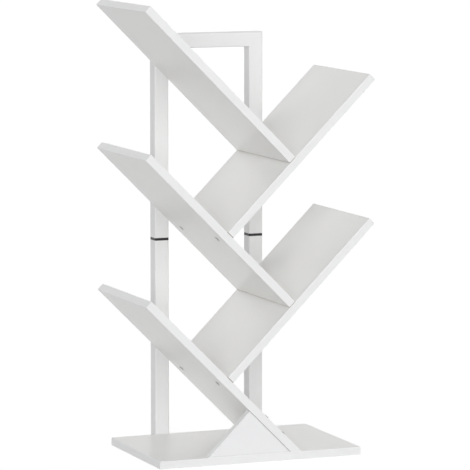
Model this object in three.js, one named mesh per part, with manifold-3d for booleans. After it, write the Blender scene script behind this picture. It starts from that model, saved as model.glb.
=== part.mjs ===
// A free-standing tree bookshelf: five boards leaning left and right in turn, on a split tube frame.
// Millimetres, +Z up, the front towards -Y, the origin on the floor at the middle of the object.

import * as THREE from 'three';
import { mergeVertices } from 'three/addons/utils/BufferGeometryUtils.js';
import Module from 'manifold-3d';

const wasm = await Module();
wasm.setup();

// Boards
const shelfLength = 400;
const shelfDepth = 265;
const boardThickness = 15;
const edgeRadius = 1;
const lowestTipHeight = 300;
const tierRise = 134;
const baseWidth = 400;
const baseThickness = 15;
const gussetLeg = 116;
const gussetThickness = 15;
const jointGap = 0.3;

// Frame tubes, with the frame's top above the bolt of the highest shelf
const tubeSize = 28;
const tubeWall = 1.5;
const tubeCornerRadius = 2.5;
const frameWidth = 220;
const frameRise = 62;
const weldGap = 0.3;

// Post joints: a collar between the tube ends, round a sleeve that slides into both
const collarHeight = 5;
const sleeveWall = 1.5;
const sleeveReach = 42;
const slideGap = 0.3;

// Plugs in the posts' lower ends
const plugFlange = 3;
const plugReach = 18;
const plugWall = 2;

// Bolts from behind the posts, and the threaded inserts that they turn into
const boltDiameter = 6;
const boltHeadDiameter = 10.5;
const boltHeadHeight = 3.2;
const boltEngagement = 11;
const boltSocketAcross = 4;
const boltSocketDepth = 2;
const boltChamfer = 0.8;
const insertDiameter = 8.4;
const insertLength = 13;

// Screws that join board to board, and the caps over their heads
const screwHeadDiameter = 9;
const screwHeadHeight = 3.6;
const screwNeckDiameter = 6;
const screwCoreDiameter = 4.4;
const screwTipHeight = 4;
const screwSocketAcross = 3.6;
const screwSocketDepth = 2.2;
const screwInset = 40;
const shelfScrewReach = 33;
const footScrewReach = 30;
const gussetScrewReach = 22;
const headRecess = 0.8;
const capDiameter = 11.5;
const capHeight = 1.1;
const capRim = 0.5;
const capStemDiameter = 2.8;
const capStemLength = 2;
const holeGap = 0.3;
const drillOverrun = 4;

// Where the gusset's screws go: shares of its base from the right, and of its leg from the foot
const gussetBaseShares = [0.42, 0.75];
const gussetLegShares = [0.3, 0.7];

// Shares of a radius and of a height, from the top of a button head or a cap's dome to its rim
const boltDomeShares = [[0.6, 1], [0.9, 0.6], [1, 0.15]];
const capDomeShare = 0.5;
const bevelShare = 0.8;
const mitreBlockShare = 3;

// Segments round a turned piece, and round the small radius of an edge or a tube corner
const turnSegments = 12;
const roundSegments = 2;

// Worked out from the sizes above: the boards lean at 45 degrees, so each stands square on the next
const lean = Math.PI / 4;
const slope = Math.cos(lean);
const tierNames = [
  'bottom_left_shelf',
  'lower_right_shelf',
  'middle_left_shelf',
  'upper_right_shelf',
  'top_left_shelf',
];
const halfSpan = (shelfLength + boardThickness) * slope - tierRise / 2;
const jointOffset = shelfLength + boardThickness / 2 - tierRise / slope;
const footLength = (lowestTipHeight - baseThickness - jointGap) / slope;
const footX = footLength * slope - halfSpan;
const postX = (frameWidth - tubeSize) / 2;
const boltDrop = halfSpan - postX - boardThickness * slope;
const totalDepth = shelfDepth + tubeSize + boltHeadHeight;
const frontY = -totalDepth / 2;
const postFrontY = frontY + shelfDepth;
const postY = postFrontY + tubeSize / 2;
const postBackY = postFrontY + tubeSize;
const topTipHeight = lowestTipHeight + tierRise * (tierNames.length - 1);
const frameHeight = topTipHeight - boltDrop + frameRise;
const splitHeight = frameHeight / 2;
const boltLength = tubeSize + boltEngagement;

// Finishes
function finish(color, roughness, metalness) {
  return () => new THREE.MeshStandardMaterial({ color, roughness, metalness });
}

const whiteMelamine = finish(0xe6e6e4, 0.42, 0);
const whitePaint = finish(0xe2e3e2, 0.38, 0.1);
const blackPlastic = finish(0x141414, 0.55, 0);
const greyPlastic = finish(0xb9bab8, 0.6, 0);
const whitePlastic = finish(0xe4e4e2, 0.4, 0);
const zincSteel = finish(0xb4b6b8, 0.35, 0.9);
const brass = finish(0xb9a05c, 0.35, 0.9);

const bookshelf = new THREE.Group();
bookshelf.name = 'tree_bookshelf';

// A closed solid from a three.js geometry, with its shared vertices merged
function toSolid(geometry) {
  const bare = geometry.clone();
  bare.deleteAttribute('normal');
  bare.deleteAttribute('uv');
  const merged = mergeVertices(bare);
  const corners = merged.index.array;
  const triangles = [];
  for (let i = 0; i < corners.length; i += 3) {
    const [a, b, c] = corners.slice(i, i + 3);
    if (a !== b && b !== c && c !== a) {
      triangles.push(a, b, c);
    }
  }
  const mesh = new wasm.Mesh({
    numProp: 3,
    vertProperties: merged.attributes.position.array,
    triVerts: Uint32Array.from(triangles),
  });
  return new wasm.Manifold(mesh);
}

function toGeometry(solid) {
  const mesh = solid.getMesh();
  const geometry = new THREE.BufferGeometry();
  geometry.setAttribute('position', new THREE.BufferAttribute(mesh.vertProperties, 3));
  geometry.setIndex(new THREE.BufferAttribute(mesh.triVerts, 1));
  geometry.computeVertexNormals();
  return geometry;
}

function addPiece(name, solid, material, frame) {
  const mesh = new THREE.Mesh(toGeometry(solid), material());
  mesh.name = name;
  mesh.applyMatrix4(frame);
  bookshelf.add(mesh);
}

function moved(x, y, z) {
  return new THREE.Matrix4().makeTranslation(x, y, z);
}

// An outline of straight sides with every corner rounded
function roundedOutline(corners, radius) {
  const outline = new THREE.Shape();
  corners.forEach((point, i) => {
    const back = corners.at(i - 1).clone().sub(point).normalize();
    const ahead = corners[(i + 1) % corners.length].clone().sub(point).normalize();
    const cut = radius / Math.tan(Math.acos(back.dot(ahead)) / 2);
    const start = back.multiplyScalar(cut).add(point);
    const end = ahead.multiplyScalar(cut).add(point);
    if (i === 0) {
      outline.moveTo(start.x, start.y);
    } else {
      outline.lineTo(start.x, start.y);
    }
    outline.quadraticCurveTo(point.x, point.y, end.x, end.y);
  });
  outline.closePath();
  return outline;
}

function corner(x, y) {
  return new THREE.Vector2(x, y);
}

// A panel from its outline in X and Z, with softened edges, from its front face back along Y
function panel(corners, depth) {
  const bevel = edgeRadius * bevelShare;
  const geometry = new THREE.ExtrudeGeometry(roundedOutline(corners, edgeRadius), {
    depth: depth - bevel * 2,
    curveSegments: roundSegments,
    bevelThickness: bevel,
    bevelSize: bevel,
    bevelOffset: -bevel,
    bevelSegments: roundSegments,
  });
  geometry.rotateX(Math.PI / 2);
  geometry.translate(0, depth - bevel, 0);
  return toSolid(geometry);
}

// A solid of revolution about +Z, from a profile of [radius, height] that starts and ends on the axis
function turned(profile) {
  const points = profile.map(([radius, height]) => corner(radius, height));
  const geometry = new THREE.LatheGeometry(points, turnSegments);
  geometry.rotateX(Math.PI / 2);
  return toSolid(geometry);
}

// A hexagonal socket from z = 0 up to its depth
function socket(across, depth) {
  const radius = across / 2 / Math.cos(Math.PI / 6);
  const geometry = new THREE.CylinderGeometry(radius, radius, depth * 2, 6);
  geometry.rotateX(Math.PI / 2);
  return toSolid(geometry);
}

// The drill is set in the world by its own frame, and cuts a board that is modelled in another
function drilled(solid, boardFrame, drill, drillFrame) {
  const step = boardFrame.clone().invert().multiply(drillFrame);
  return solid.subtract(drill.transform(step.elements));
}

// Each tier's frame has its origin at the underside corner of the shelf's tip
function tierSide(tier) {
  return tier % 2 === 0 ? 1 : -1;
}

function tierFrame(tier) {
  const side = tierSide(tier);
  const place = moved(-side * halfSpan, frontY, lowestTipHeight + tierRise * tier);
  return place.multiply(new THREE.Matrix4().makeRotationY(side * lean));
}

// Screws run along +Z of their own frame, from the top of the head
function screwProfile(length, neckLength, gap) {
  const head = screwHeadDiameter / 2 + gap;
  const neck = screwNeckDiameter / 2 + gap;
  const core = screwCoreDiameter / 2 + gap;
  return [
    [head, 0],
    [neck, screwHeadHeight],
    [neck, neckLength],
    [core, neckLength + (neck - core)],
    [core, length - screwTipHeight + gap],
    [0, length + gap],
  ];
}

function screwSolid(length, neckLength) {
  const body = turned([[0, 0], ...screwProfile(length, neckLength, 0)]);
  return body.subtract(socket(screwSocketAcross, screwSocketDepth));
}

function screwDrill(length, neckLength, headDepth) {
  const head = screwHeadDiameter / 2 + holeGap;
  const start = -headDepth - drillOverrun;
  return turned([[0, start], [head, start], ...screwProfile(length, neckLength, holeGap)]);
}

// A domed cap over a screw head, with a stem in its socket
function capSolid() {
  const radius = capDiameter / 2;
  const stem = capStemDiameter / 2;
  return turned([
    [0, -capHeight],
    [radius * capDomeShare, -capHeight],
    [radius, -capRim],
    [radius, 0],
    [stem, 0],
    [stem, capStemLength],
    [0, capStemLength],
  ]);
}

const screws = [];

// A screw whose head lies at depth headDepth under the face where its frame starts
function addScrew(name, frame, through, reach, headDepth, capped) {
  const neckLength = through - headDepth;
  const length = neckLength + reach;
  const headFrame = frame.clone().multiply(moved(0, 0, headDepth));
  screws.push({ frame: headFrame, drill: screwDrill(length, neckLength, headDepth) });
  addPiece(name, screwSolid(length, neckLength), zincSteel, headFrame);
  if (capped) {
    const capFrame = frame.clone().multiply(moved(0, 0, -jointGap));
    addPiece(name.replace('screw', 'cap'), capSolid(), whitePlastic, capFrame);
  }
}

const rows = { front: screwInset, back: shelfDepth - screwInset };

// Through the underside of the shelf below, into the end of the shelf that stands on it
for (let tier = 1; tier < tierNames.length; tier += 1) {
  const along = tierSide(tier - 1) * jointOffset;
  for (const [row, y] of Object.entries(rows)) {
    const frame = tierFrame(tier - 1).multiply(moved(along, y, 0));
    addScrew(`${tierNames[tier]}_${row}_screw`, frame, boardThickness, shelfScrewReach, headRecess, true);
  }
}

// Through the base, in line with the lowest shelf, into its mitred foot
const footPath = (baseThickness + jointGap) / slope;
const footAxisX = footLength + boardThickness / 2 + footPath;
for (const [row, y] of Object.entries(rows)) {
  const frame = tierFrame(0).multiply(moved(footAxisX, y, boardThickness / 2));
  frame.multiply(new THREE.Matrix4().makeRotationY(-Math.PI / 2));
  addScrew(`foot_${row}_screw`, frame, footPath, footScrewReach, screwHeadDiameter / 2 + headRecess, false);
}

// The gusset: a right triangle with its long side on the base and one leg under the lowest shelf
const gussetBase = gussetLeg / slope;
const gussetRightX = footX - jointGap / slope;
const gussetFrame = moved(gussetRightX, frontY, baseThickness + jointGap);
gussetBaseShares.forEach((share, i) => {
  const x = gussetRightX - gussetBase * share;
  const frame = moved(x, frontY + gussetThickness / 2, 0);
  const name = `gusset_base_screw_${i + 1}`;
  addScrew(name, frame, baseThickness + jointGap, gussetScrewReach, headRecess, false);
});
gussetLegShares.forEach((share, i) => {
  const along = footLength - gussetLeg * share;
  const frame = tierFrame(0).multiply(moved(along, gussetThickness / 2, boardThickness));
  frame.multiply(new THREE.Matrix4().makeRotationY(Math.PI));
  const name = `gusset_shelf_screw_${i + 1}`;
  addScrew(name, frame, boardThickness + jointGap, gussetScrewReach, headRecess, true);
});

// Bolts: one through a post into each shelf, and one through each post into the base
const bolts = tierNames.map((name, tier) => {
  const z = lowestTipHeight + tierRise * tier - boltDrop;
  return { name: name.replace('shelf', 'bolt'), x: -tierSide(tier) * postX, z };
});
bolts.push({ name: 'base_left_bolt', x: -postX, z: baseThickness / 2 });
bolts.push({ name: 'base_right_bolt', x: postX, z: baseThickness / 2 });

const insertHole = turned([
  [0, -drillOverrun],
  [insertDiameter / 2 + holeGap, -drillOverrun],
  [insertDiameter / 2 + holeGap, insertLength + holeGap],
  [0, insertLength + holeGap],
]);
const boltHole = turned([
  [0, -drillOverrun],
  [boltDiameter / 2 + holeGap, -drillOverrun],
  [boltDiameter / 2 + holeGap, tubeSize + drillOverrun],
  [0, tubeSize + drillOverrun],
]);

// +Z of these frames points to the front of the object
function facingFront(x, y, z) {
  return moved(x, y, z).multiply(new THREE.Matrix4().makeRotationX(Math.PI / 2));
}

function boltSolid() {
  const shank = boltDiameter / 2;
  const head = boltHeadDiameter / 2;
  const body = turned([
    [0, -boltHeadHeight],
    ...boltDomeShares.map(([across, up]) => [head * across, -boltHeadHeight * up]),
    [head, 0],
    [shank, 0],
    [shank, boltLength - boltChamfer],
    [shank - boltChamfer, boltLength],
    [0, boltLength],
  ]);
  const recess = socket(boltSocketAcross, boltSocketDepth);
  return body.subtract(recess.transform(moved(0, 0, -boltHeadHeight).elements));
}

const insertSolid = turned([
  [boltDiameter / 2 + holeGap, 0],
  [insertDiameter / 2, 0],
  [insertDiameter / 2, insertLength],
  [boltDiameter / 2 + holeGap, insertLength],
  [boltDiameter / 2 + holeGap, 0],
]);

for (const { name, x, z } of bolts) {
  addPiece(name, boltSolid(), zincSteel, facingFront(x, postBackY, z));
  addPiece(name.replace('bolt', 'insert'), insertSolid, brass, facingFront(x, postFrontY, z));
}

// A board keeps clear of every screw and insert that enters it
function addBoard(name, corners, depth, frame) {
  let solid = panel(corners, depth);
  for (const screw of screws) {
    solid = drilled(solid, frame, screw.drill, screw.frame);
  }
  for (const { x, z } of bolts) {
    solid = drilled(solid, frame, insertHole, facingFront(x, postFrontY, z));
  }
  addPiece(name, solid, whiteMelamine, frame);
}

addBoard('base_board', [
  corner(-baseWidth / 2, 0),
  corner(baseWidth / 2, 0),
  corner(baseWidth / 2, baseThickness),
  corner(-baseWidth / 2, baseThickness),
], shelfDepth, moved(0, frontY, 0));

addBoard('front_gusset', [
  corner(-gussetBase, 0),
  corner(0, 0),
  corner(-gussetBase / 2, gussetBase / 2),
], gussetThickness, gussetFrame);

// The lowest shelf is mitred to lie flat on the base, and the others are cut square
tierNames.forEach((name, tier) => {
  const side = tierSide(tier);
  const underLength = tier === 0 ? footLength : shelfLength - jointGap;
  const topLength = tier === 0 ? footLength + boardThickness : underLength;
  addBoard(name, [
    corner(0, 0),
    corner(side * underLength, 0),
    corner(side * topLength, boardThickness),
    corner(0, boardThickness),
  ], shelfDepth, tierFrame(tier));
});

// A square tube that stands on z = 0
function squareOutline(size, radius) {
  const half = size / 2;
  return roundedOutline([
    corner(-half, -half),
    corner(half, -half),
    corner(half, half),
    corner(-half, half),
  ], radius);
}

function upright(outline, height) {
  return toSolid(new THREE.ExtrudeGeometry(outline, {
    depth: height,
    curveSegments: roundSegments,
    bevelEnabled: false,
  }));
}

function squareTube(size, wall, radius, height) {
  const outline = squareOutline(size, radius);
  outline.holes.push(squareOutline(size - wall * 2, radius - wall));
  return upright(outline, height);
}

// A block on one side of the mitre between a post and the rail: above it for the post, below for the rail
function mitreBlock(side, direction) {
  const size = tubeSize * mitreBlockShare;
  const block = new THREE.BoxGeometry(size, size, size);
  block.translate(0, 0, direction * (size - weldGap) / 2);
  const frame = moved(side * frameWidth / 2, postY, frameHeight);
  return { block: toSolid(block), frame: frame.multiply(new THREE.Matrix4().makeRotationY(-side * lean)) };
}

// A piece of the frame keeps clear of every bolt that passes through it
function clearOfBolts(solid, frame) {
  let cut = solid;
  for (const { x, z } of bolts) {
    cut = drilled(cut, frame, boltHole, facingFront(x, postBackY, z));
  }
  return cut;
}

function addTube(name, solid, frame) {
  addPiece(name, clearOfBolts(solid, frame), whitePaint, frame);
}

const railLength = frameWidth;
const railFrame = moved(-railLength / 2, postY, frameHeight - tubeSize / 2);
railFrame.multiply(new THREE.Matrix4().makeRotationY(Math.PI / 2));
let rail = squareTube(tubeSize, tubeWall, tubeCornerRadius, railLength);

const innerSize = tubeSize - tubeWall * 2;
const sleeveSize = innerSize - slideGap * 2;
const innerRadius = tubeCornerRadius - tubeWall;
const upperStart = splitHeight + collarHeight / 2;
const lowerLength = splitHeight - collarHeight / 2 - plugFlange;

for (const [sideName, side] of [['left', -1], ['right', 1]]) {
  const x = side * postX;

  const upperFrame = moved(x, postY, upperStart);
  const upperMitre = mitreBlock(side, 1);
  const upperPost = squareTube(tubeSize, tubeWall, tubeCornerRadius, frameHeight - upperStart);
  addTube(
    `upper_${sideName}_post`,
    drilled(upperPost, upperFrame, upperMitre.block, upperMitre.frame),
    upperFrame,
  );
  const railMitre = mitreBlock(side, -1);
  rail = drilled(rail, railFrame, railMitre.block, railMitre.frame);

  const lowerPost = squareTube(tubeSize, tubeWall, tubeCornerRadius, lowerLength);
  addTube(`lower_${sideName}_post`, lowerPost, moved(x, postY, plugFlange));

  const collar = squareTube(tubeSize, tubeWall, tubeCornerRadius, collarHeight);
  addPiece(`${sideName}_collar`, collar, blackPlastic, moved(x, postY, splitHeight - collarHeight / 2));

  const sleeveFrame = moved(x, postY, splitHeight - sleeveReach);
  const sleeve = squareTube(sleeveSize, sleeveWall, innerRadius + slideGap, sleeveReach * 2);
  addPiece(`${sideName}_sleeve`, clearOfBolts(sleeve, sleeveFrame), zincSteel, sleeveFrame);

  const plugFrame = moved(x, postY, 0);
  const spigot = squareTube(sleeveSize, plugWall, innerRadius + slideGap, plugFlange + plugReach);
  const flange = upright(squareOutline(tubeSize, tubeCornerRadius), plugFlange);
  addPiece(`${sideName}_foot_plug`, clearOfBolts(spigot.add(flange), plugFrame), greyPlastic, plugFrame);
}

addTube('top_rail', rail, railFrame);

export default bookshelf;
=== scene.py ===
import math

import bmesh
import bpy
from mathutils import Matrix, Vector


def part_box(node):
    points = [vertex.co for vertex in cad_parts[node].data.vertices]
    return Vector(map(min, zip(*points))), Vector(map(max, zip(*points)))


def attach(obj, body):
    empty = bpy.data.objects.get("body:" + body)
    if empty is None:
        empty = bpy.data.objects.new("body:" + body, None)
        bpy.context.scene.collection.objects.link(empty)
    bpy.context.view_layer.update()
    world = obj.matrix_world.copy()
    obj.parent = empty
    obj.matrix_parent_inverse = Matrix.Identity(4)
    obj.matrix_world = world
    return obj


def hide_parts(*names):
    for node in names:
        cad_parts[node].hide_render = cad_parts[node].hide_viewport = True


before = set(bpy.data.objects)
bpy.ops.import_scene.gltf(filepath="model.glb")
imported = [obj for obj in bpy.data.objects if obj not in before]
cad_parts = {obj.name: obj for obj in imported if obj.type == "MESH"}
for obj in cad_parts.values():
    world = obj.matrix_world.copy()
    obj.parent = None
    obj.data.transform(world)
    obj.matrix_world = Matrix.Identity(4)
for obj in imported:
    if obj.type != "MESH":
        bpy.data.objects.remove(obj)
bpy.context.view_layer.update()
print("frame loaded:", len(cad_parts), "nodes")

lean = math.radians(45)  # the boards lean 45 degrees, to one side and the other in turn
leftLeaning = ["bottom_left_shelf", "middle_left_shelf", "top_left_shelf"]
rightLeaning = ["lower_right_shelf", "upper_right_shelf"]
tiers = [  # from the lowest up
    "bottom_left_shelf", "lower_right_shelf", "middle_left_shelf", "upper_right_shelf",
    "top_left_shelf",
]
toFront = Vector((0, -1, 0))
toRight = Vector((1, 0, 0))
upward = Vector((0, 0, 1))
nearlySquare = 0.99  # how closely a face or an edge has to follow a direction
sizeDigits = 5  # fasteners that agree to a hundredth of a millimetre share a pattern


# Small helpers for picking, shaping and settling a piece

def clearSelection():
    if bpy.context.mode != "OBJECT":
        bpy.ops.object.mode_set(mode="OBJECT")
    bpy.ops.object.select_all(action="DESELECT")


def pickUp(piece):
    clearSelection()
    piece.select_set(True)
    bpy.context.view_layer.objects.active = piece


def startShaping(piece):
    pickUp(piece)
    bpy.ops.object.mode_set(mode="EDIT")


def endShaping():
    bpy.ops.object.mode_set(mode="OBJECT")


def settle(piece):  # its place goes into its mesh, and the object stays at the origin
    pickUp(piece)
    bpy.ops.object.transform_apply(location=True, rotation=True, scale=True)


def nameNew(name):  # what was just added is named and settled
    piece = bpy.context.object
    piece.name = name
    piece.data.name = name
    settle(piece)
    return piece


def choose(kind, test):  # while shaping: the faces or the edges that pass a test
    bpy.ops.mesh.select_mode(type=kind)
    bpy.ops.mesh.select_all(action="DESELECT")
    mesh = bpy.context.object.data
    shape = bmesh.from_edit_mesh(mesh)
    for item in shape.faces if kind == "FACE" else shape.edges:
        item.select_set(bool(test(item)))
    bmesh.update_edit_mesh(mesh)


def roundEdges(radius, segments, slot=-1):  # while shaping: the chosen edges
    bpy.ops.mesh.bevel(
        offset=radius, segments=segments, profile=0.5, affect="EDGES", clamp_overlap=True,
        material=slot,
    )


def giveSlot(piece, slot):  # while shaping: the chosen faces
    piece.active_material_index = slot
    bpy.ops.object.material_slot_assign()


def turnOf(tilt):
    return Matrix.Rotation(tilt, 3, "Y")


def reachOf(node, turn):  # a node's lowest and highest corner along three turned directions
    back = turn.transposed()
    corners = [back @ vertex.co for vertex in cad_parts[node].data.vertices]
    low = Vector([min(corner[i] for corner in corners) for i in range(3)])
    high = Vector([max(corner[i] for corner in corners) for i in range(3)])
    return low, high


def addBlock(name, low, high, tilt=0.0):  # between two corners, given in the tilted directions
    clearSelection()
    middle = turnOf(tilt) @ ((low + high) / 2)
    bpy.ops.mesh.primitive_cube_add(
        size=1, location=middle, rotation=(0, tilt, 0), scale=high - low
    )
    return nameNew(name)


def addTurned(name, rings, sides):  # rings of (radius, height), raised one by one along +Z
    clearSelection()
    radius, height = rings[0]
    bpy.ops.mesh.primitive_circle_add(
        vertices=sides, radius=radius, fill_type="NGON", location=(0, 0, height)
    )
    piece = nameNew(name)
    startShaping(piece)
    bpy.ops.mesh.select_all(action="SELECT")
    for nextRadius, nextHeight in rings[1:]:
        rise, grow = nextHeight - height, nextRadius / radius
        bpy.ops.mesh.extrude_region_move(TRANSFORM_OT_translate={"value": (0, 0, rise)})
        bpy.ops.transform.resize(value=(grow, grow, 1), center_override=(0, 0, nextHeight))
        radius, height = nextRadius, nextHeight
    bpy.ops.mesh.select_all(action="SELECT")
    bpy.ops.mesh.normals_make_consistent(inside=False)
    endShaping()
    return piece


def combine(piece, other, operation):  # the other piece is used up
    pickUp(piece)
    change = piece.modifiers.new("change", "BOOLEAN")
    change.operation = operation
    change.solver = "EXACT"
    change.object = other
    bpy.ops.object.modifier_apply(modifier=change.name)
    bpy.data.objects.remove(other)


def cutAway(piece, cutter):
    combine(piece, cutter, "DIFFERENCE")


def joinOnto(piece, other):
    combine(piece, other, "UNION")


def copyOf(piece, name):
    twin = piece.copy()
    twin.data = piece.data.copy()
    twin.name = name
    twin.data.name = name
    bpy.context.scene.collection.objects.link(twin)
    return twin


def placeAt(piece, place):
    piece.matrix_world = place
    settle(piece)


def smoothOver(piece, degrees=32):
    pickUp(piece)
    bpy.ops.object.shade_smooth_by_angle(angle=math.radians(degrees))
    flatten = piece.modifiers.new("flatten", "WEIGHTED_NORMAL")  # wide flat faces keep one shade
    flatten.keep_sharp = True
    bpy.ops.object.modifier_apply(modifier=flatten.name)


def dress(piece, *finishes):
    piece.data.materials.clear()
    for item in finishes:
        piece.data.materials.append(item)


def handOver(piece, slot, *nodes):  # the piece stands for its nodes and rides with the frame
    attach(piece, "root")
    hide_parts(*nodes)


# Finishes, all on Object coordinates

noiseLow, noiseHigh = 0.3, 0.7  # most of a noise lies between these
colourA, colourB, colourOut = 6, 7, 2  # the Mix node's colour sockets


def addNode(owner, kind, settings=None):  # to a material or to the surround
    node = owner.node_tree.nodes.new(kind)
    for socket, value in (settings or {}).items():
        node.inputs[socket].default_value = value
    return node


def connect(owner, source, target):
    owner.node_tree.links.new(source, target)


def startFinish(name):
    material = bpy.data.materials.new(name)
    material.use_nodes = True
    addNode(material, "ShaderNodeTexCoord").name = "place"
    return material


def shaderInput(material, socket):
    return material.node_tree.nodes["Principled BSDF"].inputs[socket]


def addNoise(material, scale, detail, contrast=0.5, stretch=None):
    place = material.node_tree.nodes["place"].outputs["Object"]
    if stretch:
        mapping = addNode(material, "ShaderNodeMapping", {"Scale": stretch})
        connect(material, place, mapping.inputs["Vector"])
        place = mapping.outputs["Vector"]
    settings = {"Scale": scale, "Detail": detail, "Roughness": contrast}
    noise = addNode(material, "ShaderNodeTexNoise", settings)
    connect(material, place, noise.inputs["Vector"])
    return noise.outputs["Fac"]


def spread(material, noise, low, high):  # a noise's middle range, laid between two values
    settings = {"From Min": noiseLow, "From Max": noiseHigh, "To Min": low, "To Max": high}
    remap = addNode(material, "ShaderNodeMapRange", settings)
    connect(material, noise, remap.inputs["Value"])
    return remap.outputs["Result"]


def addColour(material, look, depth):  # the look's colour, and its deeper one where depth is 1
    mix = addNode(material, "ShaderNodeMix")
    mix.data_type = "RGBA"
    mix.inputs[colourA].default_value = (*look["colour"], 1)
    mix.inputs[colourB].default_value = (*look["deeper"], 1)
    connect(material, depth, mix.inputs["Factor"])
    connect(material, mix.outputs[colourOut], shaderInput(material, "Base Color"))


def addPatches(material, look):  # faint patches of the deeper colour
    patches = spread(material, addNoise(material, look["patchScale"], look["patchDetail"]), 0, 1)
    addColour(material, look, patches)
    return patches


def addSheen(material, look, noise):  # smoother and rougher spots
    sheen = spread(material, noise, look["smooth"], look["rough"])
    connect(material, sheen, shaderInput(material, "Roughness"))


def addRelief(material, look, height):
    settings = {"Strength": look["reliefStrength"], "Distance": look["reliefDepth"]}
    bump = addNode(material, "ShaderNodeBump", settings)
    connect(material, height, bump.inputs["Height"])
    connect(material, bump.outputs["Normal"], shaderInput(material, "Normal"))


def coated(name, look):  # board faces and bands, powder paint and moulded plastic
    material = startFinish(name)
    addPatches(material, look)
    addSheen(material, look, addNoise(material, look["sheenScale"], look["sheenDetail"]))
    if "reliefScale" in look:
        relief = addNoise(
            material, look["reliefScale"], look["reliefDetail"], look["reliefContrast"]
        )
        addRelief(material, look, relief)
    return material


def glued(name, look):
    material = startFinish(name)
    addSheen(material, look, addPatches(material, look))
    return material


def sawn(name, look):  # loose chips, with relief between them
    material = startFinish(name)
    chips = addNoise(material, look["chipScale"], look["chipDetail"], look["chipContrast"])
    addColour(material, look, spread(material, chips, 0, 1))
    addSheen(material, look, chips)
    addRelief(material, look, chips)
    return material


def drawnMetal(name, look):  # with drawn streaks
    material = startFinish(name)
    shaderInput(material, "Metallic").default_value = 1.0
    addPatches(material, look)
    streaks = addNoise(
        material, look["streakScale"], look["streakDetail"], look["streakContrast"], look["stretch"]
    )
    addSheen(material, look, streaks)
    addRelief(material, look, streaks)
    return material


melamineLook = {  # satin white board face with a fine pearl grain
    "colour": (0.925, 0.922, 0.91), "deeper": (0.91, 0.907, 0.893),
    "patchScale": 9.0, "patchDetail": 3.0,
    "smooth": 0.3, "rough": 0.38, "sheenScale": 60.0, "sheenDetail": 4.0,
    "reliefScale": 1100.0, "reliefDetail": 2.0, "reliefContrast": 0.5,
    "reliefDepth": 0.00004, "reliefStrength": 0.28,
}
faceFinish = coated("white_melamine_face", melamineLook)

gussetLook = {**melamineLook, "colour": (0.9, 0.902, 0.91), "deeper": (0.885, 0.887, 0.894)}
gussetFinish = coated("white_melamine_gusset", gussetLook)

bandLook = {  # the slightly cooler and glossier strip on the boards' edges
    "colour": (0.9, 0.902, 0.905), "deeper": (0.89, 0.892, 0.895),
    "patchScale": 16.0, "patchDetail": 2.0,
    "smooth": 0.29, "rough": 0.34, "sheenScale": 90.0, "sheenDetail": 3.0,
    "reliefScale": 260.0, "reliefDetail": 3.0, "reliefContrast": 0.5,
    "reliefDepth": 0.00003, "reliefStrength": 0.2,
}
bandFinish = coated("white_edge_band", bandLook)

arrisHighlightLook = {  # painted highlight: the rounded arris is coloured lighter than the band, to stand in for the bright line that light puts along each edge
    "colour": (0.975, 0.976, 0.978), "deeper": (0.96, 0.961, 0.963),
    "patchScale": 16.0, "patchDetail": 2.0,
    "smooth": 0.29, "rough": 0.33, "sheenScale": 90.0, "sheenDetail": 3.0,
}
arrisHighlightFinish = coated("white_arris_painted_highlight", arrisHighlightLook)

chipboardLook = {  # the sawn ends that stand on another board carry no band
    "colour": (0.42, 0.35, 0.26), "deeper": (0.27, 0.21, 0.15),
    "chipScale": 420.0, "chipDetail": 4.0, "chipContrast": 0.7,
    "smooth": 0.6, "rough": 0.8, "reliefDepth": 0.0003, "reliefStrength": 0.6,
}
rawFinish = sawn("raw_chipboard", chipboardLook)

glueLook = {  # the thin joint between a band and the board's face
    "colour": (0.5, 0.5, 0.49), "deeper": (0.4, 0.4, 0.39),
    "patchScale": 60.0, "patchDetail": 2.0, "smooth": 0.5, "rough": 0.65,
}
glueFinish = glued("grey_glue_line", glueLook)

paintLook = {  # baked powder paint, with its fine orange peel
    "colour": (0.86, 0.861, 0.862), "deeper": (0.845, 0.846, 0.847),
    "patchScale": 12.0, "patchDetail": 2.0,
    "smooth": 0.33, "rough": 0.42, "sheenScale": 140.0, "sheenDetail": 2.0,
    "reliefScale": 520.0, "reliefDetail": 2.5, "reliefContrast": 0.45,
    "reliefDepth": 0.00009, "reliefStrength": 0.3,
}
paintFinish = coated("white_powder_coat", paintLook)

plasticGrain = {  # moulded parts have a fine spark-eroded grain
    "patchScale": 220.0, "patchDetail": 3.0, "sheenScale": 500.0, "sheenDetail": 2.0,
    "reliefScale": 2600.0, "reliefDetail": 2.0, "reliefContrast": 0.5,
    "reliefDepth": 0.00004, "reliefStrength": 0.25,
}
blackLook = {
    **plasticGrain, "colour": (0.012, 0.012, 0.013), "deeper": (0.018, 0.018, 0.018),
    "smooth": 0.38, "rough": 0.5,
}
blackFinish = coated("black_plastic", blackLook)

greyLook = {
    **plasticGrain, "colour": (0.46, 0.46, 0.45), "deeper": (0.42, 0.42, 0.41),
    "smooth": 0.5, "rough": 0.62,
}
greyFinish = coated("grey_plastic", greyLook)

capLook = {
    **plasticGrain, "colour": (0.83, 0.83, 0.82), "deeper": (0.81, 0.81, 0.8),
    "smooth": 0.3, "rough": 0.38,
}
capFinish = coated("white_plastic", capLook)

metalGrain = {
    "patchScale": 90.0, "patchDetail": 4.0,
    "streakScale": 700.0, "streakDetail": 3.0, "streakContrast": 0.6,
    "reliefDepth": 0.00003, "reliefStrength": 0.2,
}
zincLook = {
    **metalGrain, "colour": (0.53, 0.54, 0.56), "deeper": (0.43, 0.44, 0.46),
    "smooth": 0.29, "rough": 0.4, "stretch": (1, 0.06, 1),
}
zincFinish = drawnMetal("zinc_steel", zincLook)

brassLook = {
    **metalGrain, "colour": (0.72, 0.56, 0.26), "deeper": (0.6, 0.46, 0.2),
    "smooth": 0.29, "rough": 0.42, "stretch": (1, 0.1, 1),
}
brassFinish = drawnMetal("brass", brassLook)
print("finishes made")


# Fasteners: where each one sits and points is read from its node

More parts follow.
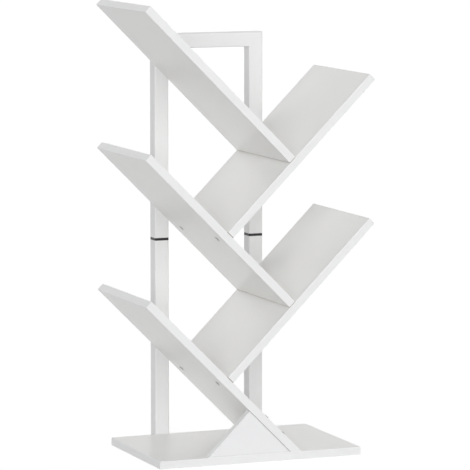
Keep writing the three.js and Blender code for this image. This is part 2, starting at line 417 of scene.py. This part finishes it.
def seatOf(node, aim):  # a place at its near end with +Z along aim, its length and its width
    turn = aim.to_track_quat("Z", "Y").to_matrix()
    low, high = reachOf(node, turn)
    start = turn @ Vector(((low.x + high.x) / 2, (low.y + high.y) / 2, low.z))
    return Matrix.Translation(start) @ turn.to_4x4(), high.z - low.z, high.x - low.x


intoLeftLeaning = turnOf(lean) @ upward  # square to a left-leaning board, from its underside
intoRightLeaning = turnOf(-lean) @ upward
screwAims = {}
for lower, upper in zip(tiers, tiers[1:]):
    for row in ("front", "back"):
        aim = intoLeftLeaning if lower in leftLeaning else intoRightLeaning
        screwAims[f"{upper}_{row}_screw"] = aim
for row in ("front", "back"):
    screwAims[f"foot_{row}_screw"] = turnOf(lean) @ -toRight  # up the lowest shelf's slope
for number in (1, 2):
    screwAims[f"gusset_base_screw_{number}"] = upward
    screwAims[f"gusset_shelf_screw_{number}"] = -intoLeftLeaning
capAims = {
    name: screwAims[name.replace("_cap", "_screw")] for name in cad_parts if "_cap" in name
}
boltAims = {name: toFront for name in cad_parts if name.endswith("_bolt")}
insertAims = {name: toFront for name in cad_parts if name.endswith("_insert")}


def copyToNodes(aims, makePattern, slot, rename):  # one of each size is made and then copied
    patterns = {}
    for node, aim in aims.items():
        place, length, width = seatOf(node, aim)
        size = (round(length, sizeDigits), round(width, sizeDigits))
        if size not in patterns:
            patterns[size] = makePattern(length, width)
        piece = copyOf(patterns[size], rename(node))
        placeAt(piece, place)
        handOver(piece, slot, node)
    for pattern in patterns.values():
        bpy.data.objects.remove(pattern)
    print(slot, "fasteners made:", len(aims), "from", len(patterns), "patterns")


def addSocket(across, depth):  # a hexagonal punch, half of it standing above the head
    hexagon = 6
    corner = across / 2 / math.cos(math.pi / hexagon)
    return addTurned("punch", [(corner, -depth), (corner, depth)], hexagon)


def domeRings(radius, rise, steps):  # a quarter ellipse, from near the crown to the rim
    rings = []
    for step in range(steps, 0, -1):
        angle = math.pi / 2 * step / (steps + 1)
        rings.append((radius * math.cos(angle), rise * (1 - math.sin(angle))))
    return rings + [(radius, rise)]


screwSizes = {
    "sides": 32, "rimHeight": 0.0004, "headHeight": 0.0036, "neckRadius": 0.003,
    "coreRadius": 0.0022, "tipHeight": 0.004, "tipRadius": 0.0004,
    "socketAcross": 0.0036, "socketDepth": 0.0022,
    "threadFrom": 0.42, "threadPitch": 0.0024, "threadDepth": 0.0007, "threadCrest": 0.45,
    "holeGap": 0.0003, "holeStart": 0.004,
}


def makeScrew(length, headWidth):
    sizes = screwSizes
    neck, core, pitch = sizes["neckRadius"], sizes["coreRadius"], sizes["threadPitch"]
    threadStart, threadEnd = length * sizes["threadFrom"], length - sizes["tipHeight"]
    rings = [
        (headWidth / 2 - sizes["rimHeight"], 0), (headWidth / 2, sizes["rimHeight"]),
        (neck, sizes["headHeight"]), (neck, threadStart - (neck - core)),
    ]
    for i in range(int((threadEnd - threadStart) / pitch)):  # ridges that rise from the core
        base = threadStart + i * pitch
        crest = base + pitch * sizes["threadCrest"]
        rings += [(core, base), (core + sizes["threadDepth"], crest)]
    rings += [(core, threadEnd), (sizes["tipRadius"], length)]
    screw = addTurned("screw_pattern", rings, sizes["sides"])
    cutAway(screw, addSocket(sizes["socketAcross"], sizes["socketDepth"]))
    smoothOver(screw)
    dress(screw, zincFinish)
    return screw


def makeDrill(length, headWidth):  # the room that a screw's head, neck and core need
    sizes = screwSizes
    gap = sizes["holeGap"]
    head, neck = headWidth / 2 + gap, sizes["neckRadius"] + gap
    core = sizes["coreRadius"] + sizes["threadDepth"] + gap
    return addTurned("drill", [
        (head, -sizes["holeStart"]), (head, 0), (neck, sizes["headHeight"]),
        (core, sizes["headHeight"] + neck - core), (core, length + gap),
    ], sizes["sides"])


def boardsOf(screw):  # the boards that a screw passes through
    if screw.startswith("foot"):
        return ["base_board", "bottom_left_shelf"]
    if screw.startswith("gusset_base"):
        return ["base_board", "front_gusset"]
    if screw.startswith("gusset_shelf"):
        return ["bottom_left_shelf", "front_gusset"]
    upper = screw.rsplit("_", 2)[0]
    return [tiers[tiers.index(upper) - 1], upper]


def makeScrews():
    def rename(node):
        return node.replace("_screw", "_countersunk_screw")

    copyToNodes(screwAims, makeScrew, "zinc_steel", rename)


# the dome is white plastic; the neck under its rim is black, as painted shade for the gap
capSlots = {"dome": 0, "painted_shade": 1}
capSizes = {
    "sides": 48, "domeSteps": 5, "height": 0.0011, "rimTop": 0.00035, "gap": 0.00065,
    "neckRadius": 0.0045, "neckShare": 0.9, "stemRadius": 0.0014, "smoothAngle": 40,
}


def makeCap(length, width):
    sizes = capSizes
    height, neck, stem = sizes["height"], sizes["neckRadius"], sizes["stemRadius"]
    foot = height - sizes["gap"]
    rings = domeRings(width / 2, sizes["rimTop"], sizes["domeSteps"])
    rings += [(width / 2, foot), (neck, foot), (neck, height), (stem, height), (stem, length)]
    cap = addTurned("cap_pattern", rings, sizes["sides"])
    # the black finish goes on the neck only, as painted shade under the rim
    dress(cap, capFinish, blackFinish)

    def isNeck(face):  # the neck under the rim, coloured black as painted shade for the shadow in the gap there
        middle = face.calc_center_median()
        return foot < middle.z < height and middle.xy.length > neck * sizes["neckShare"]

    startShaping(cap)
    choose("FACE", isNeck)
    giveSlot(cap, capSlots["painted_shade"])
    endShaping()
    smoothOver(cap, sizes["smoothAngle"])
    return cap


def makeCaps():  # pressed into the screw heads, domed side out
    def rename(node):
        return node + "_dome"

    copyToNodes(capAims, makeCap, "white_plastic", rename)


boltSizes = {
    "sides": 48, "domeSteps": 5, "headHeight": 0.0032, "rim": 0.0005, "shankRadius": 0.003,
    "chamfer": 0.0008, "socketAcross": 0.004, "socketDepth": 0.002,
    "threadFrom": 0.3, "threadPitch": 0.001, "threadDepth": 0.0004,
}


def makeBolt(length, width):
    sizes = boltSizes
    shank, chamfer, pitch = sizes["shankRadius"], sizes["chamfer"], sizes["threadPitch"]
    rings = domeRings(width / 2, sizes["headHeight"] - sizes["rim"], sizes["domeSteps"])
    rings += [(width / 2, sizes["headHeight"]), (shank, sizes["headHeight"])]
    height = length * sizes["threadFrom"]
    while height < length - chamfer - pitch:
        rings += [(shank, height), (shank - sizes["threadDepth"], height + pitch / 2)]
        height += pitch
    rings += [(shank, length - chamfer), (shank - chamfer, length)]
    bolt = addTurned("bolt_pattern", rings, sizes["sides"])
    cutAway(bolt, addSocket(sizes["socketAcross"], sizes["socketDepth"]))
    smoothOver(bolt)
    dress(bolt, zincFinish)
    return bolt


def makeBolts():  # button heads with hexagonal sockets, behind the posts
    def rename(node):
        return node.replace("_bolt", "_button_bolt")

    copyToNodes(boltAims, makeBolt, "zinc_steel", rename)


insertSizes = {
    "sides": 32, "flangeHeight": 0.0008, "boreGap": 0.0003,
    "grooves": 5, "grooveDepth": 0.0005, "grooveFrom": 0.15, "grooveTo": 0.35, "ridgeFrom": 0.6,
}


def makeInsert(length, width):
    sizes = insertSizes
    radius, groove, flange = width / 2, width / 2 - sizes["grooveDepth"], sizes["flangeHeight"]
    rings = [(radius, 0), (radius, flange)]
    pitch = (length - flange) / sizes["grooves"]
    for i in range(sizes["grooves"]):
        base = flange + i * pitch
        rings += [
            (groove, base + pitch * sizes["grooveFrom"]),
            (groove, base + pitch * sizes["grooveTo"]),
            (radius, base + pitch * sizes["ridgeFrom"]),
        ]
    rings.append((groove, length))
    insert = addTurned("insert_pattern", rings, sizes["sides"])
    bore = boltSizes["shankRadius"] + sizes["boreGap"]
    cutAway(insert, addTurned("bore", [(bore, -length), (bore, length * 2)], sizes["sides"]))
    smoothOver(insert)
    dress(insert, brassFinish)
    return insert


def makeInserts():  # grooved brass nuts in the boards' back edges
    def rename(node):
        return node.replace("_insert", "_threaded_insert")

    copyToNodes(insertAims, makeInsert, "brass", rename)


# Boards: faces of melamine, with an edge band whose joint shows as a hairline

boardSlots = {"band": 0, "face": 1, "arris": 2, "raw": 3, "glue": 4}
boardSizes = {
    "edgeRadius": 0.0008, "gussetRadius": 0.0003, "edgeSegments": 3, "bandThickness": 0.0012,
    "hairlineWidth": 0.0001, "hairlineDepth": 0.00006, "footReach": 0.00022, "footMargin": 1.01,
    "trimSpare": 0.00088, "wideShare": 0.5, "insertGap": 0.0003, "insertReach": 0.0133,
}


def touches(board, point):  # whether a point lies on this board's surface
    found, near, normal, index = board.closest_point_on_mesh(point)
    return found and (near - point).length < boardSizes["edgeRadius"]


def drillBoard(board, node):  # all its drills are joined and cut in one go
    drills = []
    for screw, aim in screwAims.items():
        if node in boardsOf(screw):
            place, length, width = seatOf(screw, aim)
            drills.append(makeDrill(length, width))
            placeAt(drills[-1], place)
    reach = boardSizes["insertReach"]
    for insert, aim in insertAims.items():
        place, length, width = seatOf(insert, aim)
        if touches(board, place.translation):
            radius = width / 2 + boardSizes["insertGap"]
            rings = [(radius, -reach), (radius, reach)]
            drills.append(addTurned("drill", rings, insertSizes["sides"]))
            placeAt(drills[-1], place)
    clearSelection()
    for drill in drills:
        drill.select_set(True)
    bpy.context.view_layer.objects.active = drills[0]
    if len(drills) > 1:
        bpy.ops.object.join()
    cutAway(board, drills[0])


def finishBoard(board, node, faceNormal, faceArea, foot=None):
    sizes = boardSizes
    if node == "front_gusset":
        radius, wideFinish = sizes["gussetRadius"], gussetFinish
    else:
        radius, wideFinish = sizes["edgeRadius"], faceFinish
    dress(board, bandFinish, wideFinish, arrisHighlightFinish, rawFinish, glueFinish)

    def isWide(face):
        square = abs(face.normal.dot(faceNormal)) > nearlySquare
        return square and face.calc_area() > faceArea * sizes["wideShare"]

    startShaping(board)
    bpy.ops.mesh.select_all(action="SELECT")
    # the rounded faces take the arris finish, a painted highlight along every edge
    roundEdges(radius, sizes["edgeSegments"], boardSlots["arris"])
    choose("FACE", isWide)
    bpy.ops.mesh.inset(thickness=sizes["bandThickness"] - radius, depth=0)
    giveSlot(board, boardSlots["glue"])
    bpy.ops.mesh.inset(thickness=sizes["hairlineWidth"], depth=-sizes["hairlineDepth"])
    bpy.ops.mesh.inset(thickness=sizes["hairlineWidth"], depth=sizes["hairlineDepth"])
    choose("FACE", isWide)
    giveSlot(board, boardSlots["face"])
    if foot:  # a point and the normal of its sawn end
        point, outward = foot
        margin = radius * sizes["footMargin"]

        def isFoot(face):
            return all((corner.co - point).dot(outward) > -margin for corner in face.verts)

        choose("FACE", isFoot)
        giveSlot(board, boardSlots["raw"])
    endShaping()
    drillBoard(board, node)
    smoothOver(board)
    handOver(board, "white_melamine", node)


def trimBeyond(point, normal):  # while shaping: keeps what lies behind the plane
    bpy.ops.mesh.select_all(action="SELECT")
    bpy.ops.mesh.bisect(
        plane_co=point, plane_no=normal, use_fill=True, clear_outer=True, clear_inner=False
    )


def makeShelf(node, tilt):
    low, high = reachOf(node, turnOf(tilt))
    board = addBlock(node.replace("_shelf", "_leaning_board"), low, high, tilt)
    slope = turnOf(tilt) @ toRight
    foot = (slope * high.x, slope) if tilt > 0 else (slope * low.x, -slope)
    if node == "bottom_left_shelf":  # its foot is mitred and banded, flat on the base
        startShaping(board)
        trimBeyond(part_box(node)[0] - upward * boardSizes["footReach"], -upward)
        endShaping()
        foot = None
    finishBoard(board, node, turnOf(tilt) @ upward, (high.x - low.x) * (high.y - low.y), foot)


def makeBase():
    low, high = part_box("base_board")
    board = addBlock("base_panel", low, high)
    finishBoard(board, "base_board", upward, (high.x - low.x) * (high.y - low.y))


def makeGusset():  # a triangle cut by two slopes from its apex, tight on the board and the base
    low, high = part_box("front_gusset")
    reach, width = boardSizes["footReach"], high.x - low.x
    apex = Vector((low.x + width / 2, low.y, low.z + width / 2))
    top = Vector((high.x, high.y, apex.z + boardSizes["trimSpare"]))
    spare = toRight * boardSizes["trimSpare"]
    board = addBlock("front_gusset_panel", low - spare - upward * reach, top + spare)
    lifted = apex + upward * reach * math.sqrt(2)  # moves that slope out by the reach
    startShaping(board)
    trimBeyond(apex, (-1, 0, 1))
    trimBeyond(lifted, (1, 0, 1))
    endShaping()
    finishBoard(board, "front_gusset", toFront, width * (apex.z - low.z) / 2)


# Tubes: square sections with round corners, mitred and welded at the top

tubeSizes = {
    "cornerRadius": 0.0025, "cornerSegments": 5, "wall": 0.0015, "innerRadius": 0.001,
    "mitreGap": 0.0003, "mitreBlock": 0.12, "boltGap": 0.0003,
}


def roundedBar(name, low, high, along, radius, segments):  # a block with its long edges rounded
    def isLong(edge):
        direction = (edge.verts[0].co - edge.verts[1].co).normalized()
        return abs(direction.dot(along)) > nearlySquare

    bar = addBlock(name, low, high)
    startShaping(bar)
    choose("EDGE", isLong)
    roundEdges(radius, segments)
    endShaping()
    return bar


def boreTube(tube, low, high, along, wall, radius, segments):  # a second, longer bar cuts the bore
    inset = (Vector((1, 1, 1)) - along * 2) * wall  # narrower by the wall, and longer by it
    cutAway(tube, roundedBar("bore", low + inset, high - inset, along, radius, segments))


def boreForBolts(tube, node):
    low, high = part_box(node)
    radius = boltSizes["shankRadius"] + tubeSizes["boltGap"]
    for bolt, aim in boltAims.items():
        place, length, width = seatOf(bolt, aim)
        spot = place.translation
        if low.x < spot.x < high.x and low.z < spot.z < high.z:
            drill = addTurned("drill", [(radius, 0), (radius, length)], boltSizes["sides"])
            placeAt(drill, place)
            cutAway(tube, drill)


def mitreAway(tube, corner, side, direction):  # a block on one side of the mitre plane
    size = tubeSizes["mitreBlock"]
    low = Vector((-size / 2, -size / 2, 0 if direction > 0 else -size))
    block = addBlock("mitre", low, low + Vector((size, size, size)))
    gap = Matrix.Translation(upward * direction * -tubeSizes["mitreGap"] / 2)
    placeAt(block, Matrix.Translation(corner) @ turnOf(-side * lean).to_4x4() @ gap)
    cutAway(tube, block)


def halfTurn():  # about the upright line midway between the posts
    low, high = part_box("top_rail")
    middle = (low + high) / 2
    turn = Matrix.Rotation(math.pi, 4, "Z")
    return Matrix.Translation(middle) @ turn @ Matrix.Translation(-middle)


def makeFrame():  # the right posts are the left ones turned half round, with their own bolt holes
    sizes = tubeSizes
    outer = (sizes["cornerRadius"], sizes["cornerSegments"])
    inner = (sizes["wall"], sizes["innerRadius"], sizes["cornerSegments"])
    low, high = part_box("top_rail")
    middle = (low.y + high.y) / 2
    corners = {-1: Vector((low.x, middle, high.z)), 1: Vector((high.x, middle, high.z))}
    rail = roundedBar("top_rail_tube", low, high, toRight, *outer)
    boreTube(rail, low, high, toRight, *inner)
    for side, corner in corners.items():
        mitreAway(rail, corner, side, -1)
    smoothOver(rail)
    dress(rail, paintFinish)
    handOver(rail, "white_powder_coat", "top_rail")
    for height in ("upper", "lower"):
        leftNode, rightNode = f"{height}_left_post", f"{height}_right_post"
        low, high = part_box(leftNode)
        leftPost = roundedBar(leftNode + "_tube", low, high, upward, *outer)
        boreTube(leftPost, low, high, upward, *inner)
        if height == "upper":
            mitreAway(leftPost, corners[-1], -1, 1)
        rightPost = copyOf(leftPost, rightNode + "_tube")
        placeAt(rightPost, halfTurn())
        for post, node in ((leftPost, leftNode), (rightPost, rightNode)):
            boreForBolts(post, node)
            smoothOver(post)
            dress(post, paintFinish)
            handOver(post, "white_powder_coat", node)
    print("tubes made")


weldSizes = {"radius": 0.0007, "rise": 0.00025, "steps": 3, "smoothAngle": 50}


def makeWelds():  # a ground bead round each mitre
    sizes = weldSizes
    low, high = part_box("top_rail")
    size = high.z - low.z
    start = Vector((low.x + size / 2, (low.y + high.y) / 2, high.z - size / 2))
    sunk = sizes["radius"] - sizes["rise"]
    half = Vector((1, 1, 1)) * (size / 2 - sunk)
    bead = roundedBar(
        "left_mitre_weld", start - half, start + half, upward,
        tubeSizes["cornerRadius"] - sunk, tubeSizes["cornerSegments"],
    )
    startShaping(bead)
    bpy.ops.mesh.select_all(action="SELECT")
    bpy.ops.mesh.bisect(
        plane_co=start, plane_no=(-1, 0, -1), use_fill=True, clear_outer=True, clear_inner=True
    )
    choose("EDGE", lambda edge: True)
    bpy.ops.mesh.delete(type="ONLY_FACE")
    endShaping()
    pickUp(bead)
    bpy.ops.object.convert(target="CURVE")
    bead.data.bevel_depth = sizes["radius"]
    bead.data.bevel_resolution = sizes["steps"]
    pickUp(bead)
    bpy.ops.object.convert(target="MESH")
    leftWeld = bpy.context.object
    smoothOver(leftWeld, sizes["smoothAngle"])
    dress(leftWeld, paintFinish)
    rightWeld = copyOf(leftWeld, "right_mitre_weld")
    placeAt(rightWeld, halfTurn())
    for weld in (leftWeld, rightWeld):
        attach(weld, "root")
    print("welds made")


# What fits round and into the posts: each is made for the left post and copied for the right

def softenEnds(piece, radius, segments):  # rounds the rims of a piece's level ends
    def isLevel(face):
        return abs(face.normal.z) > nearlySquare

    def isRim(edge):
        faces = edge.link_faces
        return len(faces) == 2 and isLevel(faces[0]) != isLevel(faces[1])

    startShaping(piece)
    choose("EDGE", isRim)
    roundEdges(radius, segments)
    endShaping()


def handOverPair(piece, slot, leftNode):
    rightNode = leftNode.replace("left", "right")
    twin = copyOf(piece, piece.name.replace("left", "right"))
    placeAt(twin, Matrix.Translation(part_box(rightNode)[0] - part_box(leftNode)[0]))
    handOver(piece, slot, leftNode)
    handOver(twin, slot, rightNode)


collarSizes = {
    "wall": 0.0015, "cornerRadius": 0.0025, "innerRadius": 0.001, "cornerSegments": 5,
    "edgeRadius": 0.0004, "edgeSegments": 3,
}


def makeCollars():
    sizes = collarSizes
    low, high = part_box("left_collar")
    segments = sizes["cornerSegments"]
    collar = roundedBar("left_collar_ring", low, high, upward, sizes["cornerRadius"], segments)
    softenEnds(collar, sizes["edgeRadius"], sizes["edgeSegments"])
    boreTube(collar, low, high, upward, sizes["wall"], sizes["innerRadius"], segments)
    smoothOver(collar)
    dress(collar, blackFinish)
    handOverPair(collar, "black_plastic", "left_collar")
    print("collars made")


sleeveSizes = {
    "wall": 0.0015, "cornerRadius": 0.0012, "innerRadius": 0.0006, "cornerSegments": 4,
    "edgeRadius": 0.0005, "edgeSegments": 2,
}


def makeSleeves():  # steel liners inside the posts, that hold the tube ends in line
    sizes = sleeveSizes
    low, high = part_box("left_sleeve")
    segments = sizes["cornerSegments"]
    sleeve = roundedBar("left_sleeve_liner", low, high, upward, sizes["cornerRadius"], segments)
    softenEnds(sleeve, sizes["edgeRadius"], sizes["edgeSegments"])
    boreTube(sleeve, low, high, upward, sizes["wall"], sizes["innerRadius"], segments)
    smoothOver(sleeve)
    dress(sleeve, zincFinish)
    handOverPair(sleeve, "zinc_steel", "left_sleeve")
    print("sleeves made")


plugSizes = {
    "flange": 0.003, "flangeCornerRadius": 0.0025, "flangeCornerSegments": 5,
    "edgeRadius": 0.0006, "edgeSegments": 3, "gap": 0.0018, "wall": 0.002,
    "cornerRadius": 0.0012, "innerRadius": 0.0006, "cornerSegments": 4,
}


def makePlugs():  # hollow plugs in the posts' lower ends, with a flange that stands on the floor
    sizes = plugSizes
    low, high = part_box("left_foot_plug")
    flange = upward * sizes["flange"]
    inset = Vector((sizes["gap"], sizes["gap"], 0))
    inner = inset + Vector((sizes["wall"], sizes["wall"], 0))
    plug = roundedBar(
        "left_foot_plug_insert", low, Vector((high.x, high.y, low.z)) + flange, upward,
        sizes["flangeCornerRadius"], sizes["flangeCornerSegments"],
    )
    softenEnds(plug, sizes["edgeRadius"], sizes["edgeSegments"])
    spigot = roundedBar(
        "spigot", low + inset + flange / 2, high - inset, upward,
        sizes["cornerRadius"], sizes["cornerSegments"],
    )
    hollow = roundedBar(
        "hollow", low + inner + flange, high - inner + flange, upward,
        sizes["innerRadius"], sizes["cornerSegments"],
    )
    joinOnto(plug, spigot)
    cutAway(plug, hollow)
    boreForBolts(plug, "left_foot_plug")
    smoothOver(plug)
    dress(plug, greyFinish)
    handOverPair(plug, "grey_plastic", "left_foot_plug")
    print("foot plugs made")


for node in leftLeaning:
    makeShelf(node, lean)
for node in rightLeaning:
    makeShelf(node, -lean)
makeBase()
makeGusset()
print("boards made")
makeScrews()
makeCaps()
makeBolts()
makeInserts()
makeFrame()
makeWelds()
makeCollars()
makeSleeves()
makePlugs()


# Studio: a pale floor, a white surround for the camera, and soft lamps

studio = {
    "floorSize": 60.0, "floorColour": (0.7, 0.7, 0.7), "floorGlow": 0.59, "surround": 0.36,
    "lamps": {
        "key": {"strength": 1.24, "angle": 40.0, "azimuth": -33.0, "elevation": 11.0},
        "front": {"strength": 0.9, "angle": 40.0, "azimuth": 0.0, "elevation": 11.0},
        "right": {"strength": 0.34, "angle": 60.0, "azimuth": 100.0, "elevation": 30.0},
        "back": {"strength": 0.92, "angle": 60.0, "azimuth": 180.0, "elevation": 15.0},
    },
}


def awayFrom(azimuth, elevation):  # from the object, towards a lamp or the camera
    turn, rise = math.radians(azimuth), math.radians(elevation)
    outward = math.cos(rise)
    return Vector((math.sin(turn) * outward, -math.cos(turn) * outward, math.sin(rise)))


def lookingBack(outward):  # the turn of a lamp or the camera that faces the object
    return (-outward).to_track_quat("-Z", "Y").to_euler()


def seenOrMirrored(owner):  # 1 for rays from the camera and for clear reflections
    path = addNode(owner, "ShaderNodeLightPath")
    either = path.outputs["Is Camera Ray"]
    for kind in ("Is Glossy Ray", "Is Transmission Ray"):
        larger = addNode(owner, "ShaderNodeMath")
        larger.operation = "MAXIMUM"
        connect(owner, either, larger.inputs[0])
        connect(owner, path.outputs[kind], larger.inputs[1])
        either = larger.outputs[0]
    return either


def makeFloor():
    clearSelection()
    bpy.ops.mesh.primitive_plane_add(size=studio["floorSize"], location=(0, 0, 0))
    floor = bpy.context.object
    floor.name = "studio_floor"
    material = bpy.data.materials.new("studio_floor")
    material.use_nodes = True
    material.node_tree.nodes.clear()
    matt = addNode(material, "ShaderNodeBsdfDiffuse", {"Color": (*studio["floorColour"], 1)})
    strength = addNode(material, "ShaderNodeMath", {1: studio["floorGlow"]})
    strength.operation = "MULTIPLY"
    glow = addNode(material, "ShaderNodeEmission")
    both = addNode(material, "ShaderNodeAddShader")
    output = addNode(material, "ShaderNodeOutputMaterial")
    connect(material, seenOrMirrored(material), strength.inputs[0])
    connect(material, strength.outputs[0], glow.inputs["Strength"])
    connect(material, matt.outputs[0], both.inputs[0])
    connect(material, glow.outputs[0], both.inputs[1])
    connect(material, both.outputs[0], output.inputs["Surface"])
    floor.data.materials.append(material)


def makeSurround():
    world = bpy.data.worlds.new("studio")
    bpy.context.scene.world = world
    world.use_nodes = True
    background = world.node_tree.nodes["Background"]
    background.inputs["Color"].default_value = (1, 1, 1, 1)
    settings = {"To Min": studio["surround"], "To Max": 1.0}
    strength = addNode(world, "ShaderNodeMapRange", settings)
    connect(world, seenOrMirrored(world), strength.inputs["Value"])
    connect(world, strength.outputs["Result"], background.inputs["Strength"])


def makeLamp(name):  # soft and far off, so that the floor is lit alike all over
    look = studio["lamps"][name]
    data = bpy.data.lights.new(name, "SUN")
    data.energy = look["strength"]
    data.angle = math.radians(look["angle"])
    lamp = bpy.data.objects.new(name, data)
    lamp.visible_glossy = False  # its mirrored disc would burn out faces seen at a low angle
    lamp.location = awayFrom(look["azimuth"], look["elevation"])
    lamp.rotation_euler = lookingBack(lamp.location)
    bpy.context.scene.collection.objects.link(lamp)


makeFloor()
makeSurround()
for lampName in studio["lamps"]:
    makeLamp(lampName)
print("studio made")


# Camera: to the front and a little to the left, just above the middle of the object

cameraView = {
    "aim": (0.0061, 0.0, 0.4057), "distance": 6.349, "azimuth": -21.83, "elevation": 6.98,
    "lens": 259.45, "sensor": 36.0, "clipEnd": 100.0,
}


def makeCamera():
    data = bpy.data.cameras.new("camera")
    data.lens = cameraView["lens"]
    data.sensor_width = cameraView["sensor"]
    data.clip_end = cameraView["clipEnd"]
    camera = bpy.data.objects.new("camera", data)
    outward = awayFrom(cameraView["azimuth"], cameraView["elevation"])
    camera.location = Vector(cameraView["aim"]) + outward * cameraView["distance"]
    camera.rotation_euler = lookingBack(outward)
    bpy.context.scene.collection.objects.link(camera)
    bpy.context.scene.camera = camera


makeCamera()
bpy.context.scene.view_settings.view_transform = "Standard"
print("camera set")
